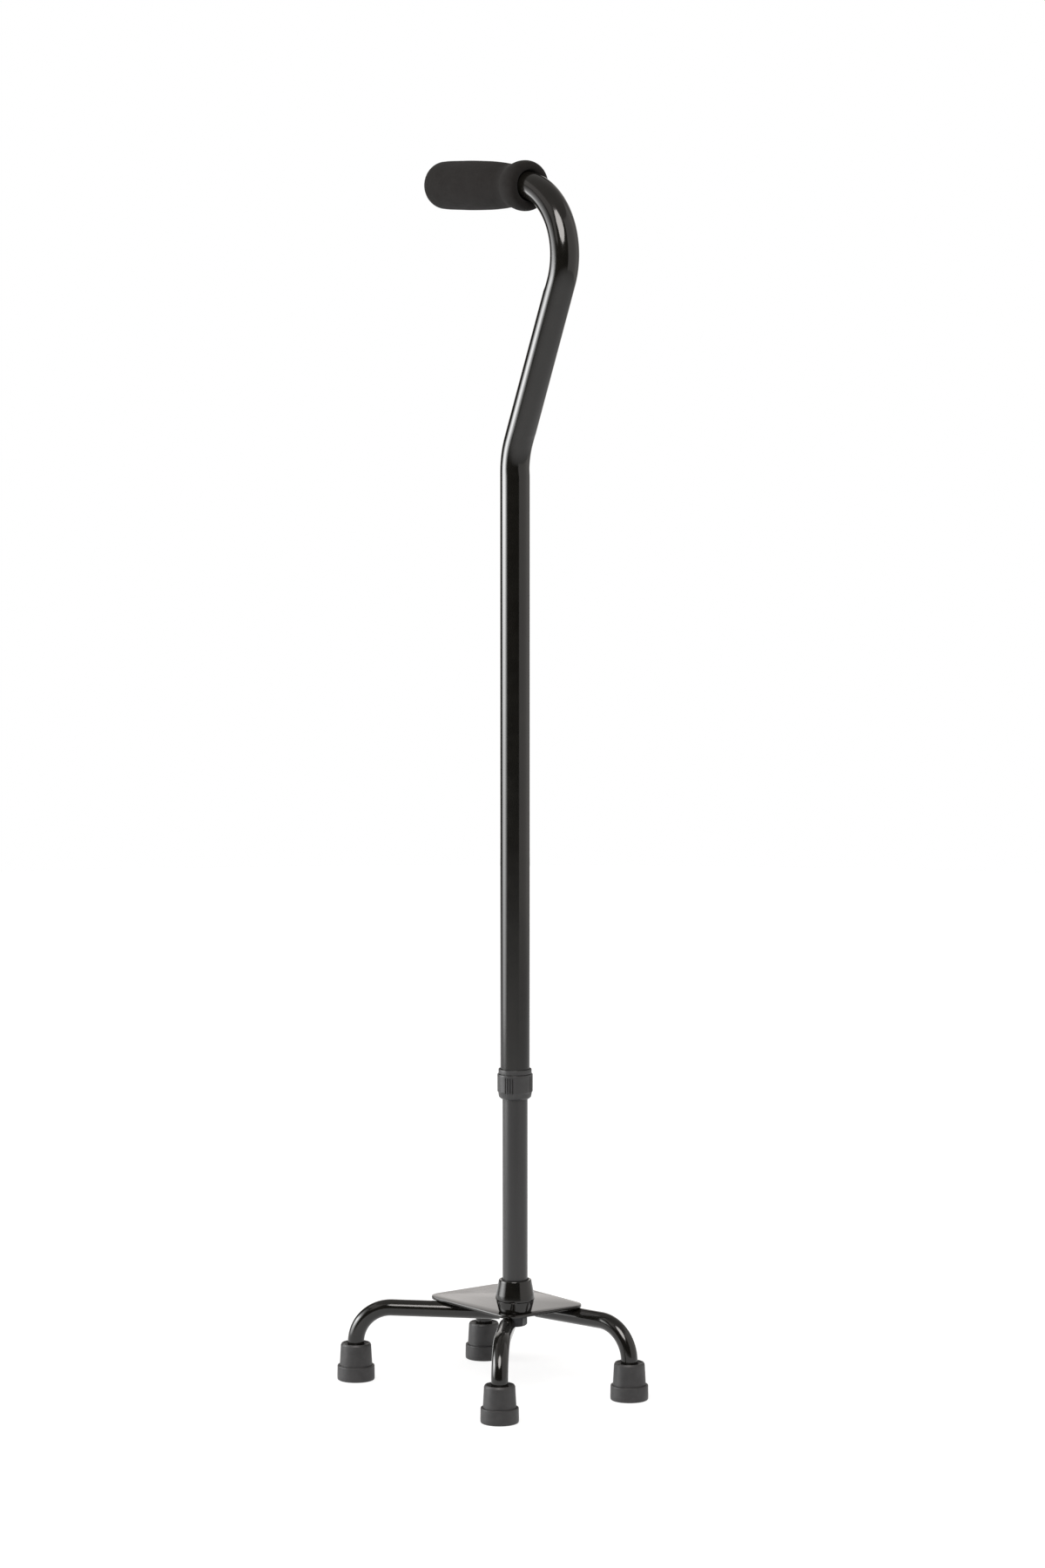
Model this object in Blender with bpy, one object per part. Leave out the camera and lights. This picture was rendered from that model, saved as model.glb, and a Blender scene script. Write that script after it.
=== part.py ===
"""A black quad walking cane: a four-legged base, a telescopic shaft and an offset foam grip.

The frame has +Z up, the ground at Z = 0 and its origin under the middle of the whole cane.
+X points forward, from the grip's free end to the gooseneck. Lengths below are in millimetres
and are turned into metres as each object is made.
"""

import math

import bmesh
import bpy
from mathutils import Vector

# ---------------------------------------------------------------- driving dimensions, mm
MM = 0.001
GAP = 0.3  # between two faces that touch on the real cane

# Base: four rubber tips on a rectangle, with the shaft ahead of its middle.
FOOT_X = 90.8
FOOT_Y = 61.7
SHAFT_X = 31.5
SHAFT_Y = -1.6
LEG_R = 6.35  # half-inch tube
LEG_WALL = 1.2
LEG_Z = 57.0  # height of the legs' level run
LEG_BEND = 28.0
LEG_SIDES = 16
FRONT_LEFT_HEADING = 180 - 42.0  # seen from above, from the foot towards the plate
FRONT_LEFT_RUN = 73.0  # the level run stops short of the bolt head
REAR_LEFT_HEADING = 43.5
REAR_LEFT_RUN = 112.0
SIDE_LEG_FALL = 12.0  # how far the two right-hand legs close in, in degrees
SIDE_LEG_RUN = 90.5

TIP_HEIGHT = 28.6
TIP_FLOOR = 6.0  # rubber under the steel washer
TIP_BORE = 6.65
TIP_BAND_HEIGHT = 11.5
WASHER_T = 1.0

PLATE_LENGTH = 104.0
PLATE_WIDTH = 76.5
PLATE_X = -6.4
PLATE_Y = 19.0
PLATE_TOP = 66.0
PLATE_T = 2.4
PLATE_CORNER = 12.0

BOLT_R = 4.9
BOLT_HEAD_AF = 16.0
BOLT_HEAD_H = 6.4
BOLT_TOP = 88.0

HUB_SEAM = 75.2
HUB_TOP = 90.8

# Shaft: a plain lower tube slides in the upper one.
LOWER_R = 9.5
LOWER_BORE = 8.3
LOWER_FOOT = 69.6
LOWER_TOP = 365.0
UPPER_R = 11.1
UPPER_BORE = 9.9
UPPER_FOOT = 243.3
TUBE_SIDES = 32

HOLE_PITCH = 25.4  # height steps
HOLE_COUNT = 7
HOLE_R = 3.3
LOWEST_HOLE = 300.0
BUTTON_Z = LOWEST_HOLE + HOLE_PITCH  # the button stands in the second hole
BUTTON_R = 2.9
BUTTON_TIP = 13.4  # distance from the shaft's axis

# Collar that clamps the lower tube.
NUT_TOP = 248.0
NUT_FOOT = 229.3
NECK_FOOT = 237.5

# Gooseneck and grip.
GOOSE_CORNER_Z = 712.5  # where the slanting run meets the shaft's axis
GOOSE_TILT = 23.0
GOOSE_LOWER_BEND = 60.0
GOOSE_UPPER_BEND = 50.0
HANDLE_Z = 911.7
HANDLE_TUBE_END = -90.5  # from the shaft's axis
GRIP_FREE_END = -98.7
GRIP_FACE = 19.5

SHAFT_FOOT = (SHAFT_X, SHAFT_Y, 0)


# ---------------------------------------------------------------- materials
def material(name, colour, roughness, metallic=0.0):
    made = bpy.data.materials.new(name)
    made.use_nodes = True
    shader = made.node_tree.nodes["Principled BSDF"]
    shader.inputs["Base Color"].default_value = (*colour, 1.0)
    shader.inputs["Roughness"].default_value = roughness
    shader.inputs["Metallic"].default_value = metallic
    made.diffuse_color = (*colour, 1.0)
    return made


FINISHES = {
    "gloss_black": ((0.012, 0.012, 0.013), 0.12, 0.0),
    "satin_black": ((0.035, 0.035, 0.037), 0.38, 0.0),
    "foam": ((0.045, 0.042, 0.040), 0.95, 0.0),
    "black_plastic": ((0.030, 0.030, 0.031), 0.45, 0.0),
    "rubber": ((0.040, 0.040, 0.042), 0.80, 0.0),
    "zinc": ((0.60, 0.60, 0.60), 0.35, 1.0),
    "spring_steel": ((0.50, 0.50, 0.50), 0.30, 1.0),
    "white_plastic": ((0.70, 0.70, 0.68), 0.50, 0.0),
}


# ---------------------------------------------------------------- mesh helpers
def clear_scene():
    for obj in list(bpy.data.objects):
        bpy.data.objects.remove(obj, do_unlink=True)


def as_object(name, bm, finish, place=(0, 0, 0)):
    """One object from a closed bmesh in millimetres about its own origin, which stands at place."""
    bmesh.ops.recalc_face_normals(bm, faces=bm.faces)
    bmesh.ops.scale(bm, vec=(MM, MM, MM), verts=bm.verts)
    mesh = bpy.data.meshes.new(name)
    bm.to_mesh(mesh)
    bm.free()
    mesh.shade_smooth()
    mesh.set_sharp_from_angle(angle=math.radians(35))
    obj = bpy.data.objects.new(name, mesh)
    obj.location = Vector(place) * MM
    obj.data.materials.append(material(name, *FINISHES[finish]))
    bpy.context.scene.collection.objects.link(obj)
    return obj


def turned(name, profile, finish, place=(0, 0, 0), axis="Z", sides=TUBE_SIDES, slit=0.0):
    """Turns (radius, height) points about an axis. A profile that starts and ends at radius 0 makes a
    solid piece. Any other is closed on itself and makes a ring, with a slit of that many degrees."""
    bm = bmesh.new()
    solid = profile[0][0] == 0 and profile[-1][0] == 0
    turn = math.radians(360 - slit)
    count = sides + 1 if slit else sides
    rings = []
    for i in range(count):
        angle = turn * i / sides
        rings.append([
            bm.verts.new(_about(axis, r * math.cos(angle), r * math.sin(angle), h))
            for r, h in profile
        ])
    across = len(profile) if not solid else len(profile) - 1
    for i in range(count if not slit else count - 1):
        here, there = rings[i], rings[(i + 1) % count]
        for k in range(across):
            nxt = (k + 1) % len(profile)
            bm.faces.new((here[k], here[nxt], there[nxt], there[k]))
    if slit:
        bm.faces.new(rings[0])
        bm.faces.new(rings[-1])
    if solid:
        bmesh.ops.remove_doubles(bm, verts=bm.verts, dist=1e-5)
    return as_object(name, bm, finish, place)


def _about(axis, u, v, h):
    return (h, u, v) if axis == "X" else (u, v, h)


def bent_path(corners, bends):
    """Points along straight runs between the corners, with each inner corner rounded to its radius."""
    points = [Vector(corners[0])]
    for i, radius in enumerate(bends, start=1):
        corner = Vector(corners[i])
        inward = (Vector(corners[i - 1]) - corner).normalized()
        outward = (Vector(corners[i + 1]) - corner).normalized()
        turn = math.pi - inward.angle(outward)
        start = corner + inward * radius * math.tan(turn / 2)
        centre = corner + (inward + outward).normalized() * radius / math.cos(turn / 2)
        spoke, along = start - centre, -inward
        steps = max(3, round(math.degrees(turn) / 10))
        for k in range(steps + 1):
            angle = turn * k / steps
            points.append(centre + spoke * math.cos(angle) + along * radius * math.sin(angle))
    points.append(Vector(corners[-1]))
    return points


def swept(name, path, side, loops, finish, place=(0, 0, 0)):
    """Sweeps one closed outline, or an outer and an inner one, along a path in a plane.
    Outline points are (across the plane, in the plane), and side is the plane's normal."""
    bm = bmesh.new()
    side = Vector(side).normalized()
    stations = []
    for i, point in enumerate(path):
        before, after = path[max(i - 1, 0)], path[min(i + 1, len(path) - 1)]
        up = side.cross((after - before).normalized())
        stations.append([[bm.verts.new(point + side * a + up * b) for a, b in loop] for loop in loops])
    for here, there in zip(stations, stations[1:]):
        for ring, following in zip(here, there):
            for k in range(len(ring)):
                nxt = (k + 1) % len(ring)
                bm.faces.new((ring[k], ring[nxt], following[nxt], following[k]))
    for end in (stations[0], stations[-1]):
        if len(loops) == 1:
            bm.faces.new(end[0])
            continue
        outer, inner = end
        for k in range(len(outer)):
            nxt = (k + 1) % len(outer)
            bm.faces.new((outer[k], outer[nxt], inner[nxt], inner[k]))
    return as_object(name, bm, finish, place)


def circle(radius, sides):
    return [
        (radius * math.cos(2 * math.pi * k / sides), radius * math.sin(2 * math.pi * k / sides))
        for k in range(sides)
    ]


def prism(name, outline, low, high, finish, place=(0, 0, 0)):
    bm = bmesh.new()
    foot = [bm.verts.new((x, y, low)) for x, y in outline]
    head = [bm.verts.new((x, y, high)) for x, y in outline]
    bm.faces.new(foot)
    bm.faces.new(head)
    for k in range(len(outline)):
        nxt = (k + 1) % len(outline)
        bm.faces.new((foot[k], foot[nxt], head[nxt], head[k]))
    return as_object(name, bm, finish, place)


def helper(obj):
    obj.hide_render = True
    obj.display_type = "WIRE"
    return obj


def boolean(obj, other, operation="DIFFERENCE"):
    step = obj.modifiers.new(other.name, "BOOLEAN")
    step.operation = operation
    step.object = other
    step.solver = "EXACT"


def cross_holes(name, heights, radius, reach):
    """Round cutters along -X through the tube's rear wall only, one at each height."""
    bm = bmesh.new()
    for height in heights:
        near, far = ([
            bm.verts.new((x, a, height + b)) for a, b in circle(radius, 16)
        ] for x in (-reach + 5, -reach - 3))
        bm.faces.new(near)
        bm.faces.new(far)
        for k in range(16):
            nxt = (k + 1) % 16
            bm.faces.new((near[k], near[nxt], far[nxt], far[k]))
    return helper(as_object(name, bm, "satin_black", SHAFT_FOOT))


def follow(parent, *children):
    """Parents objects that already stand in their places."""
    bpy.context.view_layer.update()
    for child in children:
        child.parent = parent
        child.matrix_parent_inverse = parent.matrix_world.inverted()


# ---------------------------------------------------------------- base
def leg(name, foot_x, foot_y, heading, run):
    """A bent tube from its open end under the plate, level to the foot, then down into the tip."""
    angle = math.radians(heading)
    inward = Vector((math.cos(angle), math.sin(angle), 0))
    foot = Vector((foot_x, foot_y, LEG_Z))
    end = Vector((foot_x, foot_y, TIP_FLOOR + 2 * GAP + WASHER_T))
    path = bent_path([foot + inward * run, foot, end], [LEG_BEND])
    loops = [circle(LEG_R, LEG_SIDES), circle(LEG_R - LEG_WALL, LEG_SIDES)]
    return swept(name, path, inward.cross(Vector((0, 0, 1))), loops, "gloss_black")


def rubber_tip(name, foot_x, foot_y):
    """A ferrule with a wide band at the floor, a tapering socket and a ring cut into its sole."""
    profile = [
        (0, 0), (5.5, 0), (6.0, 1.2), (7.6, 1.2), (8.1, 0), (12.4, 0), (13.7, 0.7), (14.4, 2.2),
        (14.25, TIP_BAND_HEIGHT), (12.5, TIP_BAND_HEIGHT + 0.5), (11.5, TIP_HEIGHT - 0.5),
        (11.1, TIP_HEIGHT), (10.4, TIP_HEIGHT), (9.9, TIP_HEIGHT - 1.0), (TIP_BORE, TIP_HEIGHT - 3.6),
        (TIP_BORE, TIP_FLOOR), (0, TIP_FLOOR),
    ]
    return turned(name, profile, "rubber", (foot_x, foot_y, 0), sides=20)


def tip_washer(name, foot_x, foot_y):
    low, high = TIP_FLOOR + GAP, TIP_FLOOR + GAP + WASHER_T
    profile = [(0, low), (LEG_R - 0.1, low), (LEG_R - 0.1, high), (0, high)]
    return turned(name, profile, "zinc", (foot_x, foot_y, 0), sides=16)


def base_plate():
    outline = []
    half_x, half_y = PLATE_LENGTH / 2 - PLATE_CORNER, PLATE_WIDTH / 2 - PLATE_CORNER
    for quarter, (sx, sy) in enumerate([(1, 1), (-1, 1), (-1, -1), (1, -1)]):
        for k in range(7):
            angle = math.radians(90 * quarter + 15 * k)
            outline.append((
                PLATE_X + sx * half_x + PLATE_CORNER * math.cos(angle),
                PLATE_Y + sy * half_y + PLATE_CORNER * math.sin(angle),
            ))
    plate = prism("base_plate", outline, PLATE_TOP - PLATE_T, PLATE_TOP, "gloss_black")
    hole = prism("plate_hole", circle(BOLT_R + 0.5, 24), 50, 80, "zinc", SHAFT_FOOT)
    boolean(plate, helper(hole))
    return plate


def base_bolt():
    """A hex bolt that comes up through the plate and pulls the shaft's insert down on it."""
    head_top = PLATE_TOP - PLATE_T - GAP - 1.2 - GAP
    across = BOLT_HEAD_AF / math.cos(math.radians(30)) / 2
    low = head_top - BOLT_HEAD_H
    bolt = prism("base_bolt", circle(across, 6), low, head_top, "zinc", SHAFT_FOOT)
    shank = prism("bolt_shank", circle(BOLT_R, 24), low + 1, BOLT_TOP, "zinc", SHAFT_FOOT)
    boolean(bolt, helper(shank), "UNION")
    return bolt


def base_washer():
    low = PLATE_TOP - PLATE_T - GAP - 1.2
    profile = [(BOLT_R + 0.4, low), (9.8, low), (9.8, low + 1.2), (BOLT_R + 0.4, low + 1.2)]
    return turned("base_washer", profile, "zinc", SHAFT_FOOT, sides=24)


def hub_socket():
    """The lower cone: it stands on the plate, and the lower tube stands in it."""
    bore, floor = LOWER_R + GAP, LOWER_FOOT - GAP
    profile = [
        (BOLT_R + 0.5, PLATE_TOP + GAP), (12.3, PLATE_TOP + GAP), (12.6, PLATE_TOP + 1.0),
        (14.4, HUB_SEAM - GAP), (bore, HUB_SEAM - GAP), (bore, floor), (BOLT_R + 0.5, floor),
    ]
    return turned("hub_socket", profile, "gloss_black", SHAFT_FOOT)


def hub_collar():
    """The upper cone: it slips over the lower tube and closes the socket."""
    bore = LOWER_R + GAP
    profile = [
        (bore, HUB_SEAM), (14.7, HUB_SEAM), (14.85, HUB_SEAM + 1.6), (13.6, HUB_SEAM + 9.5),
        (12.55, HUB_TOP - 1.6), (12.0, HUB_TOP - 0.4), (11.2, HUB_TOP), (10.6, HUB_TOP),
        (bore, HUB_TOP - 0.9),
    ]
    return turned("hub_collar", profile, "gloss_black", SHAFT_FOOT)


def make_base():
    left, right = -FOOT_Y, FOOT_Y
    legs = {
        "front_left": (FOOT_X, left, FRONT_LEFT_HEADING, FRONT_LEFT_RUN),
        "rear_left": (-FOOT_X, left, REAR_LEFT_HEADING, REAR_LEFT_RUN),
        "front_right": (FOOT_X, right, 180 + SIDE_LEG_FALL, SIDE_LEG_RUN),
        "rear_right": (-FOOT_X, right, -SIDE_LEG_FALL, SIDE_LEG_RUN),
    }
    pieces = [base_bolt(), base_washer(), hub_socket(), hub_collar()]
    for corner, (x, y, heading, run) in legs.items():
        pieces.append(leg(f"leg_{corner}", x, y, heading, run))
        pieces.append(rubber_tip(f"tip_{corner}", x, y))
        pieces.append(tip_washer(f"tip_washer_{corner}", x, y))
    plate = base_plate()
    follow(plate, *pieces)
    return plate


# ---------------------------------------------------------------- lower tube and its fittings
def lower_tube():
    loops = [circle(LOWER_R, TUBE_SIDES), circle(LOWER_BORE, TUBE_SIDES)]
    path = [Vector((0, 0, LOWER_FOOT)), Vector((0, 0, LOWER_TOP))]
    tube = swept("lower_tube", path, (0, 1, 0), loops, "satin_black", SHAFT_FOOT)
    boolean(tube, cross_holes("lower_tube_hole", [BUTTON_Z], HOLE_R, LOWER_R))
    return tube


def tube_insert():
    """The threaded plug in the lower tube's foot, which takes the base bolt."""
    bore, outer = BOLT_R + GAP, LOWER_BORE - GAP
    profile = [(bore, LOWER_FOOT), (outer, LOWER_FOOT), (outer, 90.0), (bore, 90.0)]
    return turned("tube_insert", profile, "zinc", SHAFT_FOOT, sides=24)


def guide_bush():
    """The slider on top of the lower tube, which keeps it central in the upper one."""
    outer = LOWER_BORE - GAP
    low, seat = LOWER_TOP - 12, LOWER_TOP + GAP
    profile = [
        (5.6, low), (outer, low), (outer, seat), (UPPER_BORE - GAP, seat),
        (UPPER_BORE - GAP, seat + 2.5), (UPPER_BORE - 0.9, seat + 3.2), (5.6, seat + 3.2),
    ]
    return turned("guide_bush", profile, "white_plastic", SHAFT_FOOT)


def button_spring():
    """A leaf spring folded to a V inside the lower tube. Its rear leaf carries the button."""
    fold_z = BUTTON_Z - 42
    rear, front = Vector((-5.4, 0, BUTTON_Z + 5)), Vector((6.6, 0, BUTTON_Z + 2))
    corners = [rear, Vector((-5.4, 0, BUTTON_Z - 8)), Vector((0, 0, fold_z)), front]
    path = bent_path(corners, [20.0, 2.0])
    half_width, half_thickness = 2.6, 0.25
    outline = [
        (-half_width, -half_thickness), (half_width, -half_thickness),
        (half_width, half_thickness), (-half_width, half_thickness),
    ]
    return swept("button_spring", path, (0, 1, 0), [outline], "spring_steel", SHAFT_FOOT)


def snap_button():
    """A round-nosed button, held in from outside by the flange behind the lower tube's wall."""
    profile = [
        (0, -6.0), (3.6, -6.0), (3.6, -6.8), (BUTTON_R, -6.8), (BUTTON_R, -BUTTON_TIP + 1.6),
        (2.3, -BUTTON_TIP + 0.5), (1.2, -BUTTON_TIP), (0, -BUTTON_TIP),
    ]
    place = (SHAFT_X, SHAFT_Y, BUTTON_Z)
    return turned("snap_button", profile, "zinc", place, axis="X", sides=20)


# ---------------------------------------------------------------- upper tube, grip and collar
def gooseneck_path():
    """Up the shaft, out along the slanting run, and round the top bend into the grip."""
    tilt = math.radians(GOOSE_TILT)
    radius = GOOSE_UPPER_BEND
    rise = HANDLE_Z - radius - GOOSE_CORNER_Z
    centre_x = (rise * math.sin(tilt) - radius) / math.cos(tilt)
    centre = Vector((centre_x, 0, HANDLE_Z - radius))
    tangent = centre + radius * Vector((math.cos(tilt), 0, -math.sin(tilt)))
    foot, corner = Vector((0, 0, UPPER_FOOT)), Vector((0, 0, GOOSE_CORNER_Z))
    path = bent_path([foot, corner, tangent], [GOOSE_LOWER_BEND])
    steps = 12
    for k in range(1, steps + 1):
        angle = -tilt + (math.pi / 2 + tilt) * k / steps
        path.append(centre + radius * Vector((math.cos(angle), 0, math.sin(angle))))
    path.append(Vector((HANDLE_TUBE_END, 0, HANDLE_Z)))
    return path


def upper_tube():
    loops = [circle(UPPER_R, TUBE_SIDES), circle(UPPER_BORE, TUBE_SIDES)]
    place = SHAFT_FOOT
    tube = swept("upper_tube", gooseneck_path(), (0, 1, 0), loops, "gloss_black", place)
    heights = [LOWEST_HOLE + HOLE_PITCH * k for k in range(HOLE_COUNT)]
    boolean(tube, cross_holes("upper_tube_holes", heights, HOLE_R, UPPER_R))
    return tube


def foam_grip():
    """A moulded foam sleeve with a domed free end, a waist and a rounded flange at its mouth."""
    bore = UPPER_R + GAP
    dome = [(17.8 * math.sin(math.radians(a)), GRIP_FREE_END + 14.1 * (1 - math.cos(math.radians(a))))
            for a in (0, 20, 38, 54, 70, 90)]
    body = [(18.2, -75.0), (18.4, -53.0), (18.0, -30.0), (17.2, -17.0), (16.3, -8.0), (15.9, -2.0)]
    flange = [(16.7, 3.0), (18.2, 7.5), (18.75, 12.0), (18.4, 15.5), (17.2, 18.2), (15.0, GRIP_FACE)]
    inside = [(12.9, GRIP_FACE), (12.7, 16.0), (bore, 6.0), (bore, HANDLE_TUBE_END - 2.8),
              (0, HANDLE_TUBE_END - 2.8)]
    place = (SHAFT_X, SHAFT_Y, HANDLE_Z)
    return turned("foam_grip", dome + body + flange + inside, "foam", place, axis="X")


def grip_plug():
    """The cap that closes the tube's end, so that it doesn't cut through the foam."""
    outer, end = UPPER_BORE - GAP, HANDLE_TUBE_END
    profile = [
        (0, end - 2.4), (10.0, end - 2.4), (10.9, end - 1.6), (10.9, end - GAP),
        (outer, end - GAP), (outer, end + 12), (outer - 1.4, end + 12), (outer - 1.4, end), (0, end),
    ]
    place = (SHAFT_X, SHAFT_Y, HANDLE_Z)
    return turned("grip_plug", profile, "black_plastic", place, axis="X", sides=24)


def collar_bushing():
    """The cup on the upper tube's foot. Its flange shows, and its neck carries the nut's thread."""
    bore, cup, neck = LOWER_R + GAP, UPPER_R + GAP, 12.1
    profile = [
        (bore, NECK_FOOT), (neck, NECK_FOOT), (neck, NUT_TOP + GAP), (12.5, NUT_TOP + GAP),
        (12.5, NUT_TOP + 3.4), (12.1, NUT_TOP + 3.9), (cup + 0.3, NUT_TOP + 3.9),
        (cup, NUT_TOP + 3.4), (cup, UPPER_FOOT - GAP), (bore, UPPER_FOOT - GAP),
    ]
    return turned("collar_bushing", profile, "black_plastic", SHAFT_FOOT)


def collet():
    """A split, tapered ring that the nut presses on the lower tube."""
    bore, head = LOWER_R + 0.25, NECK_FOOT - GAP
    profile = [(bore, 230.9), (10.15, 230.9), (11.9, 236.2), (11.9, head), (bore, head)]
    return turned("collet", profile, "white_plastic", SHAFT_FOOT, slit=12)


def lock_nut():
    profile = [
        (9.85, NUT_FOOT), (10.7, NUT_FOOT), (11.9, NUT_FOOT + 1.0), (12.6, NUT_FOOT + 2.6),
        (12.75, NUT_FOOT + 4.6), (13.2, NUT_FOOT + 5.0), (13.35, NUT_FOOT + 5.6),
        (13.35, NUT_TOP - 0.5), (13.1, NUT_TOP), (12.45, NUT_TOP), (12.45, 236.6),
        (10.4, 230.5), (9.85, 230.5),
    ]
    return turned("lock_nut", profile, "black_plastic", SHAFT_FOOT, sides=36)


# ---------------------------------------------------------------- assembly
def make_cane():
    clear_scene()
    plate = make_base()
    tube = lower_tube()
    follow(tube, tube_insert(), guide_bush(), button_spring(), snap_button())
    follow(plate, tube)
    upper = upper_tube()
    nut_carrier = collet()
    follow(nut_carrier, lock_nut())
    follow(upper, foam_grip(), grip_plug(), collar_bushing(), nut_carrier)
    for helper_object in [o for o in bpy.data.objects if o.hide_render]:
        owner = helper_object.name.startswith("upper") and upper
        follow(owner or plate, helper_object)


make_cane()
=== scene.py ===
"""Looks for the quad walking cane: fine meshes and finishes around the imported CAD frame."""

import math

import bmesh
import bpy
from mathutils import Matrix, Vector


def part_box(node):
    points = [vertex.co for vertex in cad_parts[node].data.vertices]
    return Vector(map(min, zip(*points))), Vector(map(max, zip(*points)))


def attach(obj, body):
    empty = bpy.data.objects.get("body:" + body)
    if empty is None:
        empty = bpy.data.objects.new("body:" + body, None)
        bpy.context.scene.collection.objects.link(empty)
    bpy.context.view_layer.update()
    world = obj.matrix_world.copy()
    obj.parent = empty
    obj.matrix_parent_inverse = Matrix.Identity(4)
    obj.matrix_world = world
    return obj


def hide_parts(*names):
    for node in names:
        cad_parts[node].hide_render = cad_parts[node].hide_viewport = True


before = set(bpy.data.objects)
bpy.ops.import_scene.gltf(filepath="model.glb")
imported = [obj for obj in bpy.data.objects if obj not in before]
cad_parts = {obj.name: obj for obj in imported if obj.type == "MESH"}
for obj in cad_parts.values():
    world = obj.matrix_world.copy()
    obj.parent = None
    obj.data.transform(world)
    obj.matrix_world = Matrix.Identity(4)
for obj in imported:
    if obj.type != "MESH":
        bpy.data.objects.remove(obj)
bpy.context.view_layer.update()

MM = 0.001
CORNERS = ("front_left", "front_right", "rear_left", "rear_right")


# ---------------------------------------------------------------- places and sizes from the frame
def middle(node):
    low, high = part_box(node)
    return (low + high) / 2


def half_width(node):
    low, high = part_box(node)
    return (high.y - low.y) / 2


SHAFT = Vector((middle("lower_tube").x, middle("lower_tube").y, 0.0))
LOWER_R = half_width("lower_tube")
UPPER_R = half_width("upper_tube")
TUBE_WALL = 1.2 * MM
GAP = 0.3 * MM  # between pieces that touch on the real cane
UPPER_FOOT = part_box("upper_tube")[0].z
HANDLE_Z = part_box("upper_tube")[1].z - UPPER_R
LEG_R = 6.35 * MM
LEG_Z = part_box("leg_rear_right")[1].z - LEG_R
LEG_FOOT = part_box("leg_rear_right")[0].z
LEG_BEND = 28.0 * MM
BOLT_HOLE_R = 5.4 * MM

# The bends, which a box can't give, are the CAD's own.
GOOSE_CORNER_Z = 712.5 * MM
GOOSE_TILT = math.radians(23.0)
GOOSE_LOWER_BEND = 60.0 * MM
GOOSE_UPPER_BEND = 50.0 * MM
LEG_HEADINGS = {"front_left": 138.0, "rear_left": 43.5, "front_right": 192.0, "rear_right": -12.0}
LEG_RUNS = {"front_left": 73.0, "rear_left": 112.0, "front_right": 90.5, "rear_right": 90.5}
HOLE_PITCH = 25.4 * MM
HOLE_COUNT = 7
HOLE_R = 3.3 * MM
THREAD_PITCH = 1.5 * MM

CREASE = math.radians(32)  # edges sharper than this aren't smoothed
DEBURR = 0.25 * MM


# ---------------------------------------------------------------- camera and studio
CAMERA_AZIMUTH = math.radians(52.43)
CAMERA_DISTANCE = 4.011
CAMERA_HEIGHT = 0.9259
CAMERA_PITCH = math.radians(6.525)
CAMERA_YAW = math.radians(-0.08)
CAMERA_LENS = 124.0
WARM = (1.04, 1.0, 0.97)


def around_shaft(angle, distance, height):
    """A point at an angle clockwise from the camera's direction, seen from above."""
    turned = CAMERA_AZIMUTH - math.radians(angle)
    return SHAFT + Vector((distance * math.sin(turned), -distance * math.cos(turned), height))


def make_camera():
    data = bpy.data.cameras.new("camera")
    data.lens = CAMERA_LENS
    data.sensor_width = 36.0
    data.clip_end = 100.0
    camera = bpy.data.objects.new("camera", data)
    camera.location = around_shaft(0, CAMERA_DISTANCE, CAMERA_HEIGHT)
    sight = (-math.sin(CAMERA_AZIMUTH + CAMERA_YAW), math.cos(CAMERA_AZIMUTH + CAMERA_YAW))
    level = math.cos(CAMERA_PITCH)
    forward = Vector((sight[0] * level, sight[1] * level, -math.sin(CAMERA_PITCH)))
    camera.rotation_euler = forward.to_track_quat("-Z", "Y").to_euler()
    bpy.context.scene.collection.objects.link(camera)
    bpy.context.scene.camera = camera


def glow(name, level, ramp_stops=None, height=1.0, bell=None):
    """An emission material. ramp_stops scale its level from the foot (0) to the top (1) of a panel of
    that height, and bell is the half width over which it fades to nothing on either side."""
    made = bpy.data.materials.new(name)
    made.use_nodes = True
    nodes, links = made.node_tree.nodes, made.node_tree.links
    nodes.clear()
    shine = nodes.new("ShaderNodeEmission")
    shine.inputs["Strength"].default_value = level
    out = nodes.new("ShaderNodeOutputMaterial")
    links.new(shine.outputs[0], out.inputs["Surface"])
    shine.inputs["Color"].default_value = (*WARM, 1.0)
    if not ramp_stops:
        return made
    split = nodes.new("ShaderNodeSeparateXYZ")
    links.new(nodes.new("ShaderNodeTexCoord").outputs["Object"], split.inputs[0])
    upward = nodes.new("ShaderNodeMapRange")
    upward.inputs["From Min"].default_value = -height / 2
    upward.inputs["From Max"].default_value = height / 2
    links.new(split.outputs["Y"], upward.inputs["Value"])
    ramp = nodes.new("ShaderNodeValToRGB")
    elements = ramp.color_ramp.elements
    while len(elements) < len(ramp_stops):
        elements.new(0.5)
    for element, (position, share) in zip(elements, ramp_stops):
        element.position = position
        element.color = (share, share, share, 1.0)
    links.new(upward.outputs["Result"], ramp.inputs["Fac"])
    links.new(ramp.outputs["Color"], shine.inputs["Color"])
    away = nodes.new("ShaderNodeMath")
    away.operation = "ABSOLUTE"
    links.new(split.outputs["X"], away.inputs[0])
    fade = nodes.new("ShaderNodeMapRange")
    fade.interpolation_type = "SMOOTHSTEP"
    fade.inputs["From Max"].default_value = bell
    fade.inputs["To Min"].default_value = level
    fade.inputs["To Max"].default_value = 0.0
    links.new(away.outputs[0], fade.inputs["Value"])
    links.new(fade.outputs["Result"], shine.inputs["Strength"])
    return made


def studio_piece(name, bm, material):
    mesh = bpy.data.meshes.new(name)
    bm.to_mesh(mesh)
    bm.free()
    mesh.materials.append(material)
    piece = bpy.data.objects.new(name, mesh)
    piece.visible_camera = False
    piece.visible_shadow = False
    bpy.context.scene.collection.objects.link(piece)
    return piece


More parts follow.
